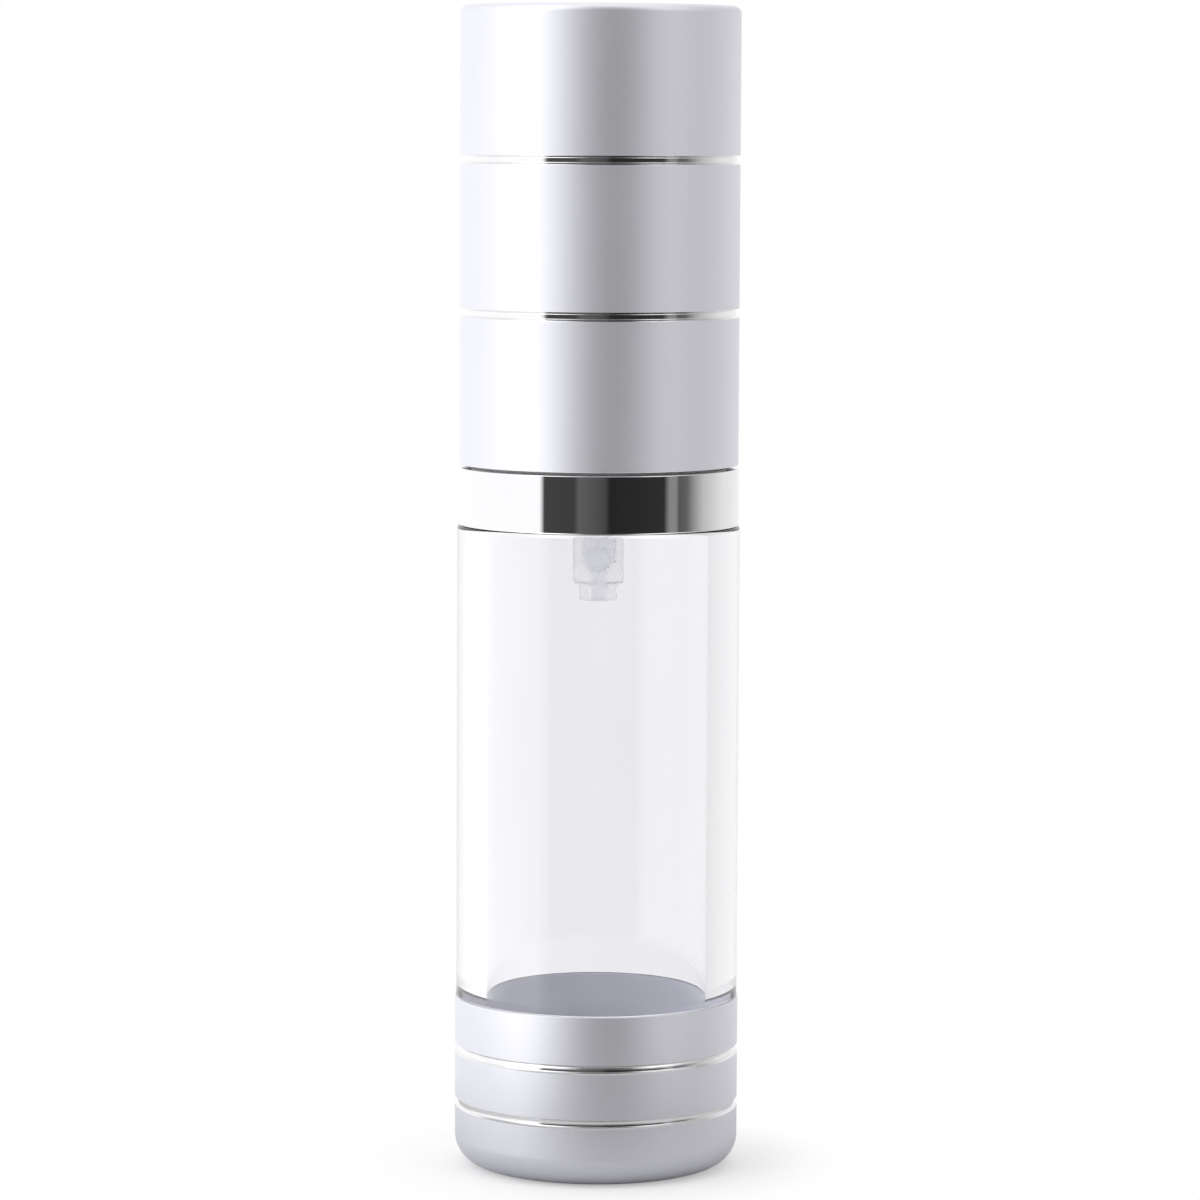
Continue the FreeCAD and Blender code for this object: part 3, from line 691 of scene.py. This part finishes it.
# %% [markdown]
# The liner is moulded in white plastic. Only its edge shows, in the thin gap between the overcap and the collar, and
# its inside shows once the overcap is off. A thicker ring at its mouth grips the collar's tube.

# %% Spin the overcap's liner
liner_radius, liner_bottom, liner_top = turned_size("overcap_liner")
liner_wall = 1.0
liner_ceiling = 1.2
liner_rounding = 1.0
seat_inset = 0.45
seat_rise = 0.6
grip_step = 0.65
grip_rise = 8.0
lead_in = 0.4
liner_inside = liner_radius - liner_wall
grip_inside = liner_inside - grip_step
liner = finished_object(
    "overcap_liner_skin",
    turned_shape(
        [
            (0, liner_top),
            (liner_radius, liner_top, liner_rounding),
            (liner_radius, liner_bottom + seat_rise),
            (liner_radius - seat_inset, liner_bottom + seat_rise),
            (liner_radius - seat_inset, liner_bottom, edge_break),
            (grip_inside + lead_in, liner_bottom),
            (grip_inside, liner_bottom + lead_in, 2 * edge_break),
            (grip_inside, liner_bottom + grip_rise, 2 * edge_break),
            (liner_inside, liner_bottom + grip_rise + grip_step, 2 * edge_break),
            (liner_inside, liner_top - liner_ceiling, liner_rounding),
            (0, liner_top - liner_ceiling),
        ]
    ),
    [white_plastic],
)
dress(liner, "overcap", "overcap_liner")

# %% [markdown]
# ## The collar
# One drawn shell makes the bright band under the overcap and the tube that guides the actuator. A mirror shows every
# dent, so its straight walls are single clean faces. Its edges are broken by small roundings, which catch a thin line
# of light.

# %% Spin the collar's shell
collar_radius, collar_bottom, tube_top = turned_size("collar_shell")
collar_wall = 0.5
collar_band = 5.7
tube_radius = 11.3
tube_mouth = 9.8
tube_edge = 0.5
root_rounding = 0.3
collar_top = collar_bottom + collar_band
collar = finished_object(
    "collar_skin",
    turned_shape(
        [
            (collar_radius, collar_bottom, 2 * edge_break),
            (collar_radius, collar_top, edge_break),
            (tube_radius, collar_top, root_rounding),
            (tube_radius, tube_top, tube_edge),
            (tube_mouth, tube_top, 2 * edge_break),
            (tube_mouth, tube_top - collar_wall),
            (tube_radius - collar_wall, tube_top - collar_wall),
            (tube_radius - collar_wall, collar_top - collar_wall),
            (collar_radius - collar_wall, collar_top - collar_wall),
            (collar_radius - collar_wall, collar_bottom, 2 * edge_break),
        ]
    ),
    [mirror_metal],
)
dress(collar, "bottle", "collar_shell")

# %% [markdown]
# ## The clear tube
# A thick wall of clear plastic with a polished bore. What it shows depends on its inside as much as on its outside,
# because light bends at both walls, so the whole section is modelled: the spigot that sits in the base, the window,
# the bore's cone up into the neck, and the neck with its bead, which the collar hides.

# %% Spin the clear tube
body_wall = 3.0
body_edge = 0.4
rim_edge = 0.15
spigot_radius = 13.45
spigot_rise = 14.0
shoulder = collar_bottom
neck_radius = 11.8
neck_bore = 9.2
neck_bead = 0.35
bead_top = 0.8
bead_bottom = 1.8
cone_start = 0.25
bore_cone = 1.45
body_radius, body_bottom, neck_top = turned_size("bottle_body")
bore = body_radius - body_wall
bore_lead_in = 0.49
tube = finished_object(
    "clear_tube",
    turned_shape(
        [
            (bore + bore_lead_in, body_bottom),
            (spigot_radius, body_bottom, 2 * edge_break),
            (spigot_radius, body_bottom + spigot_rise, 2 * edge_break),
            (body_radius, body_bottom + spigot_rise, rim_edge),
            (body_radius, shoulder, body_edge),
            (neck_radius, shoulder, 2 * edge_break),
            (neck_radius, neck_top - bead_bottom),
            (neck_radius + neck_bead, neck_top - bead_bottom + neck_bead),
            (neck_radius + neck_bead, neck_top - bead_top - neck_bead),
            (neck_radius, neck_top - bead_top),
            (neck_radius, neck_top, 2 * edge_break),
            (neck_bore, neck_top, 2 * edge_break),
            (neck_bore, shoulder - cone_start + bore_cone, 2 * edge_break),
            (bore, shoulder - cone_start, body_edge),
            (bore, body_bottom + bore_lead_in),
        ]
    ),
    [clear_plastic],
)
dress(tube, "bottle", "bottle_body")

# %% [markdown]
# ## The base
# A shallow cup of the same satin aluminium as the overcap, with a round foot, a pushed-up centre and a vent hole
# there. Its two grooves sit closer together than the overcap's. The inside shows through the tube as an arch, so the
# faces that look towards the axis get the pale coat.

# %% Spin the base's shell
base_radius, base_bottom, base_top = turned_size("base_shell")
base_wall = 0.6
base_corner = 3.0
foot_inside = 8.3
push_up = 0.8
base_vent = 3.0
foot_rounding = 0.4
coat_slot = 2
base_grooves = [base_top - drop for drop in (5.2, 10.6)]
sheet_turn = base_wall * math.tan(math.pi / 8)
base = finished_object(
    "base_skin",
    turned_shape(
        [
            (base_vent, base_bottom + push_up),
            (foot_inside - push_up, base_bottom + push_up, foot_rounding),
            (foot_inside, base_bottom, foot_rounding),
            (base_radius, base_bottom, base_corner),
            *reversed(groove_corners(base_radius, base_grooves[1])),
            *reversed(groove_corners(base_radius, base_grooves[0])),
            (base_radius, base_top, edge_break),
            (base_radius - base_wall, base_top, edge_break),
            (base_radius - base_wall, base_bottom + base_wall, base_corner - base_wall),
            (foot_inside + sheet_turn, base_bottom + base_wall),
            (foot_inside - push_up + sheet_turn, base_bottom + push_up + base_wall),
            (base_vent, base_bottom + push_up + base_wall),
        ]
    ),
    [satin_aluminium, bright_cut, inside_coat],
)
brighten_grooves(base, base_radius, base_grooves)
for face in base.data.polygons:
    outward = Vector((face.center.x, face.center.y, 0))
    if face.center.z / mm > base_bottom + base_wall / 2 and face.normal.dot(outward) < 0:
        face.material_index = coat_slot
dress(base, "bottle", "base_shell")

# %% [markdown]
# ## The pump's housing
# Its tip is the only part of the pump that shows through the tube. The inside is modelled as well, because milky
# plastic lets light through: the cylinder, the seat of the inlet ball and the inlet itself.

# %% Spin the pump's housing
flange_radius, nub_bottom, housing_top = turned_size("pump_housing")
nub_radius = 1.9
tip_radius = 2.5
housing_radius = 5.0
cylinder_radius = 4.0
inlet_radius = 0.8
ball_bore = 1.6
cage_bore = 2.0
nub_length = 1.6
tip_length = 5.3
chamber_base = 1.0
flange_bottom_drop = 9.9
flange_top_drop = 8.9
snap_drop = 1.3
snap_half = 0.4
snap_proud = 0.25
ball_seat_rise = 2.2
cage_depth = 0.61
tip_rounding = 0.3
housing_rounding = 0.5
tip_bottom = nub_bottom + nub_length
housing_bottom = tip_bottom + tip_length
chamber_floor = housing_bottom + chamber_base
flange_bottom = housing_top - flange_bottom_drop
flange_top = housing_top - flange_top_drop
snap_middle = housing_top - snap_drop
ball_seat = tip_bottom + ball_seat_rise
cage_seat = housing_bottom - cage_depth
housing = finished_object(
    "pump_housing_skin",
    turned_shape(
        [
            (inlet_radius, nub_bottom, edge_break),
            (nub_radius, nub_bottom, tip_rounding),
            (nub_radius, tip_bottom, edge_break),
            (tip_radius, tip_bottom, tip_rounding),
            (tip_radius, housing_bottom, edge_break),
            (housing_radius, housing_bottom, housing_rounding),
            (housing_radius, flange_bottom, edge_break),
            (flange_radius, flange_bottom, edge_break),
            (flange_radius, flange_top, edge_break),
            (housing_radius, flange_top, edge_break),
            (housing_radius, snap_middle - snap_half),
            (housing_radius + snap_proud, snap_middle, edge_break),
            (housing_radius, snap_middle + snap_half),
            (housing_radius, housing_top, edge_break),
            (cylinder_radius, housing_top, edge_break),
            (cylinder_radius, chamber_floor, edge_break),
            (cage_bore, chamber_floor),
            (cage_bore, cage_seat),
            (ball_bore, cage_seat),
            (ball_bore, ball_seat),
            (inlet_radius, ball_seat - ball_bore + inlet_radius),
        ]
    ),
    [milky_plastic],
)
dress(housing, "bottle", "pump_housing")

# %% [markdown]
# ## The follower
# The follower lies hidden in the base while the bottle is full, and climbs the tube as it empties. It is a soft
# piston: a lip at each end wipes the bore, the waist between them is slimmer, and a pocket in its middle takes the
# pump's tip, so that little is left behind.

# %% Spin the follower
follower_radius, follower_bottom, follower_top = turned_size("follower_piston")
skirt = 1.2
waist = 0.4
lip = 1.0
web = 1.0
web_drop = 2.7
web_top = follower_top - web_drop
pocket = 3.5
pocket_depth = 1.4
soft_edge = 0.3
skirt_inside = follower_radius - skirt
waist_radius = follower_radius - waist
follower = finished_object(
    "follower_skin",
    turned_shape(
        [
            (0, web_top - web - pocket_depth),
            (pocket + web, web_top - web - pocket_depth, soft_edge),
            (pocket + web, web_top - web, soft_edge),
            (skirt_inside, web_top - web, soft_edge),
            (skirt_inside, follower_bottom, edge_break),
            (follower_radius, follower_bottom, edge_break),
            (follower_radius, follower_bottom + lip, edge_break),
            (waist_radius, follower_bottom + lip + waist, edge_break),
            (waist_radius, follower_top - lip - waist, edge_break),
            (follower_radius, follower_top - lip, edge_break),
            (follower_radius, follower_top, edge_break),
            (skirt_inside + soft_edge, follower_top, edge_break),
            (skirt_inside, web_top, soft_edge),
            (pocket, web_top, soft_edge),
            (pocket, web_top - pocket_depth, soft_edge),
            (0, web_top - pocket_depth),
        ]
    ),
    [waxy_plastic],
)
dress(follower, "follower", "follower_piston")

# %% [markdown]
# ## The base plug
# It closes the tube's lower end inside the base, and shows through the tube once the follower has risen. A wide hole
# in its middle lets air in under the follower. The outline starts at that hole, so one spin makes the plug and the
# hole together.

# %% Spin the base plug
plug_radius, plug_bottom, plug_top = turned_size("base_plug")
plug_vent = 3.5
plug_floor = 1.4
plug_play = 0.05
plug_ring = bore - plug_play
plug_ring_wall = 1.5
plug_hub = base_bottom + push_up + base_wall + plug_play
plug_hub_radius = 9.3
plug_flange = body_bottom
straight_rest = 0.01
plug_rounding = plug_flange - plug_bottom - straight_rest
plug = finished_object(
    "base_plug_skin",
    turned_shape(
        [
            (plug_vent, plug_hub),
            (plug_hub_radius, plug_hub),
            (plug_hub_radius, plug_bottom),
            (plug_radius, plug_bottom, plug_rounding),
            (plug_radius, plug_flange),
            (plug_ring, plug_flange),
            (plug_ring, plug_top, 2 * edge_break),
            (plug_ring - plug_ring_wall, plug_top, 2 * edge_break),
            (plug_ring - plug_ring_wall, plug_hub + plug_floor, soft_edge),
            (plug_vent, plug_hub + plug_floor, edge_break),
        ]
    ),
    [white_plastic],
)
dress(plug, "bottle", "base_plug")

# %% [markdown]
# ## The actuator
# The button under the overcap: a thin satin shell with a shallow dish for the finger. The dish is one more corner of
# the outline, rounded so widely that it becomes a bowl. The hole for the spout is cut by a Boolean with a round bar,
# because it runs across the axis, and the bar is thrown away afterwards.

# %% Helpers for the finger dish and the spout's hole
dish_radius = 7.5
dish_depth = 0.5
bowl_share = 0.95
bar_segments = 64


def dish_corners(top, rim):
    """From the middle of the finger dish out to its rim."""
    bowl = bowl_share * dish_radius**2 / (2 * dish_depth)
    return [(0, top - dish_depth), (dish_radius / 2, top - dish_depth, bowl), (rim, top)]


def round_bar(radius, near, far, height):
    """A bar along the spout, between two distances from the axis."""
    bar = bmesh.new()
    bmesh.ops.create_cone(
        bar, cap_ends=True, segments=bar_segments, radius1=radius * mm, radius2=radius * mm,
        depth=(far - near) * mm,
    )
    bmesh.ops.rotate(bar, verts=bar.verts[:], cent=(0, 0, 0), matrix=Matrix.Rotation(math.pi / 2, 3, "X"))
    bmesh.ops.translate(bar, verts=bar.verts[:], vec=(0, -(near + far) / 2 * mm, height * mm))
    return bar


def cut_away(piece, bar):
    """Cuts a bar out of a piece for good."""
    cutter = finished_object("cutter", bar, [])
    cut = piece.modifiers.new("cut", "BOOLEAN")
    cut.object = cutter
    bpy.context.view_layer.update()
    whole = piece.evaluated_get(bpy.context.evaluated_depsgraph_get())
    mesh = bpy.data.meshes.new_from_object(whole)
    piece.modifiers.remove(cut)
    piece.data = mesh
    bpy.data.objects.remove(cutter)


# %% Spin the actuator's shell and cut the spout's hole
actuator_radius, actuator_bottom, actuator_top = turned_size("actuator_shell")
actuator_wall = 0.4
actuator_edge = 1.2
nozzle_low, nozzle_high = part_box("nozzle_insert")
nozzle_height = (nozzle_low.z + nozzle_high.z) / 2 / mm
nozzle_radius = 1.8
nozzle_play = 0.05
cut_start = 5
cut_end = 12
button = finished_object(
    "actuator_skin",
    turned_shape(
        [
            *dish_corners(actuator_top, dish_radius),
            (actuator_radius, actuator_top, actuator_edge),
            (actuator_radius, actuator_bottom, edge_break),
            (actuator_radius - actuator_wall, actuator_bottom, edge_break),
            (actuator_radius - actuator_wall, actuator_top - actuator_wall, actuator_edge - actuator_wall),
            *reversed(dish_corners(actuator_top - actuator_wall, dish_radius)),
        ]
    ),
    [satin_aluminium],
)
cut_away(button, round_bar(nozzle_radius + nozzle_play, cut_start, cut_end, nozzle_height))
dress(button, "actuator", "actuator_shell")

# %% [markdown]
# The spout is a small moulded tube with a rounded flange. It is round about its own axis, so it is spun upright like
# the other pieces and then laid over to the front.

# %% Spin the spout
spout_tip = -nozzle_low.y / mm
spout_root = -nozzle_high.y / mm
flange_width = 0.5
flange_rounding = 0.5
flange_gap = 0.1
flange_start = actuator_radius + flange_gap
orifice = 0.6
channel = 1.1
spout_face = 0.8
spout_shape = turned_shape(
    [
        (orifice, spout_tip, edge_break),
        (nozzle_radius + flange_width, spout_tip, flange_rounding),
        (nozzle_radius + flange_width, flange_start, edge_break),
        (nozzle_radius, flange_start),
        (nozzle_radius, spout_root, edge_break),
        (channel, spout_root),
        (channel, spout_tip - spout_face),
        (orifice, spout_tip - spout_face),
    ]
)
bmesh.ops.rotate(
    spout_shape, verts=spout_shape.verts[:], cent=(0, 0, 0), matrix=Matrix.Rotation(math.pi / 2, 3, "X")
)
bmesh.ops.translate(spout_shape, verts=spout_shape.verts[:], vec=(0, 0, nozzle_height * mm))
spout = finished_object("spout_skin", spout_shape, [white_plastic])
dress(spout, "actuator", "nozzle_insert")

# %% [markdown]
# ## The return spring
# A round wire wound in closed turns at both ends and open turns between. A section of the wire is spun about the axis
# and lifted a little at each step, once for each of the three stretches. It rides with the bottle, not with the
# actuator, and gets a mesh of its own.

# %% Wind the return spring
spring_radius, spring_bottom, spring_top = turned_size("return_spring")
wire_radius = 0.35
wire_segments = 16
end_pitch = 1.2
open_turns = 6
steps_per_turn = 48
winding = bmesh.new()
bmesh.ops.create_circle(winding, cap_ends=True, segments=wire_segments, radius=wire_radius * mm)
bmesh.ops.rotate(
    winding, verts=winding.verts[:], cent=(0, 0, 0), matrix=Matrix.Rotation(math.pi / 2, 3, "X")
)
first_middle = Vector(((spring_radius - wire_radius) * mm, 0, (spring_bottom + wire_radius) * mm))
bmesh.ops.translate(winding, verts=winding.verts[:], vec=first_middle)
open_rise = spring_top - spring_bottom - 2 * wire_radius - 2 * end_pitch
front = winding.verts[:] + winding.edges[:] + winding.faces[:]
for turns, rise in ((1, end_pitch), (open_turns, open_rise), (1, end_pitch)):
    steps = turns * steps_per_turn
    made = bmesh.ops.spin(
        winding, geom=front, cent=(0, 0, 0), axis=(0, 0, 1), dvec=(0, 0, rise * mm / steps),
        angle=math.tau * turns, steps=steps,
    )
    front = made["geom_last"]
spring = finished_object("return_spring_wire", winding, [spring_steel])
dress(spring, "bottle", "return_spring")
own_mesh(spring)

# %% [markdown]
# ## Pieces that keep their construction shape
# The rest of the pump sits inside, where only its colour could ever shine through milky plastic. These pieces keep
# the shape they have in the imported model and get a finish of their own.

# %% Finish the inner pieces
inner_finishes = {
    "actuator_insert": white_plastic,
    "collar_core": white_plastic,
    "pump_stem": milky_plastic,
    "pump_poppet": milky_plastic,
    "chaplet": milky_plastic,
    "ball_cage": milky_plastic,
    "pump_piston": waxy_plastic,
    "inlet_ball": valve_glass,
    "neck_gasket": gasket_rubber,
}
for node, finish in inner_finishes.items():
    for material_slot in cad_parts[node].material_slots:
        material_slot.material = finish
print("inner pieces:", len(inner_finishes))
